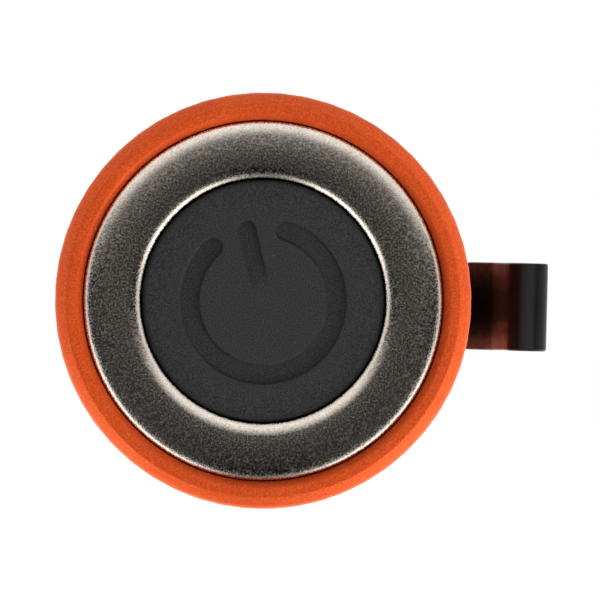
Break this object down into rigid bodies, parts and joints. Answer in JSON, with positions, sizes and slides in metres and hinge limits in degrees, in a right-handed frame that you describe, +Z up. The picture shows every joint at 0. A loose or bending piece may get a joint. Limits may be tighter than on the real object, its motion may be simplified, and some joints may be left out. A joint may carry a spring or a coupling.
{
  "type": "pinpointer probe",
  "caption": "Slim hand-held metal-detecting probe with a fluted screw-on tail cap, rubber power button in a plated ring, belt clip and sensing nose.",
  "frame": {"origin": "on the probe's axis, in the plane of the bezel ring's flat face at the tail", "axes": "+Y along the probe from the tail to the sensing tip, +X to the belt clip, +Z up"},
  "size_m": [0.0296, 0.225, 0.025],
  "materials": {
    "orange_anodised": "satin anodised",
    "nickel": "bright nickel plate",
    "rubber_black": "matte",
    "clip_black": "gloss black",
    "nylon_black": "fine texture",
    "nylon_grey": "fine texture",
    "plastic_white": "satin",
    "brass_plain": "turned",
    "copper_wire": "enamelled",
    "spring_steel": "plated",
    "screw_steel": "blackened",
    "steel_can": "nickel-plated steel",
    "cell_green": "shrink wrap",
    "board_green": "solder mask",
    "chip_black": "moulded epoxy",
    "ferrite": "sintered",
    "lamp_clear": "clear epoxy",
    "lead_red": "silicone insulation",
    "lead_yellow": "silicone insulation",
    "seal_red": "silicone"
  },
  "bodies": {
    "probe": {"barrel": "orange_anodised", "clip_foot": "clip_black", "clip_screws": "screw_steel", "cell_can": "steel_can", "cell_wrap": "cell_green", "cell_top_cap": "steel_can", "cell_insulator": "plastic_white", "contact_board": "board_green", "positive_contact": "brass_plain", "board_sled": "nylon_grey", "sled_screws": "spring_steel", "main_board": "board_green", "controller_chip": "chip_black", "amplifier_chips": "chip_black", "filter_capacitors": "steel_can", "coil_connector": "plastic_white", "vibration_motor": "steel_can", "motor_cradle": "nylon_grey", "buzzer": "chip_black", "battery_leads": "lead_red", "motor_leads": "lead_yellow", "front_collar": "orange_anodised", "nose_housing": "nylon_black", "nose_seal": "seal_red", "tip_cap": "nylon_grey", "lamp": "lamp_clear", "lamp_legs": "spring_steel", "lamp_leads": "lead_yellow", "ferrite_rod": "ferrite", "coil_bobbin": "nylon_grey", "transmit_winding": "copper_wire", "receive_winding": "copper_wire", "coil_grommets": "rubber_black", "coil_leads": "lead_red"},
    "cap_seal": {"cap_seal": "seal_red"},
    "tail_cap": {"tail_cap": "orange_anodised", "bezel_ring": "nickel", "button_boot": "rubber_black", "switch_carrier": "nylon_black", "switch_body": "chip_black", "switch_board": "board_green", "retaining_ring": "brass_plain", "cell_spring": "spring_steel"},
    "power_button": {"power_button": "rubber_black", "switch_plunger": "plastic_white"},
    "clip_arm": {"clip_arm": "clip_black"},
    "vibration_weight": {"motor_shaft": "spring_steel", "eccentric_weight": "steel_can"}
  },
  "joints": [
    {"name": "cap_travel", "type": "slide", "parent": "probe", "child": "cap_seal", "axis": [0, -1, 0], "range_m": [0, 0.00975]},
    {"name": "cap_turn", "type": "hinge", "parent": "cap_seal", "child": "tail_cap", "pos_m": [0, 0.012, 0], "axis": [0, -1, 0], "range_deg": [0, 2341]},
    {"name": "button_press", "type": "slide", "parent": "tail_cap", "child": "power_button", "axis": [0, 1, 0], "range_m": [0, 0.001], "stiffness_N_per_m": 3000},
    {"name": "clip_flex", "type": "hinge", "parent": "probe", "child": "clip_arm", "pos_m": [0.01335, 0.0581, 0], "axis": [0, 0, 1], "range_deg": [0, 4], "stiffness_Nm_per_rad": 6},
    {"name": "vibration_spin", "type": "hinge", "parent": "probe", "child": "vibration_weight", "pos_m": [0, 0.1105, 0.0048], "axis": [0, 1, 0], "continuous": true}
  ],
  "couplings": [
    {"joint": "cap_turn", "follows": "cap_travel", "rad_per_m": 4188.8}
  ]
}
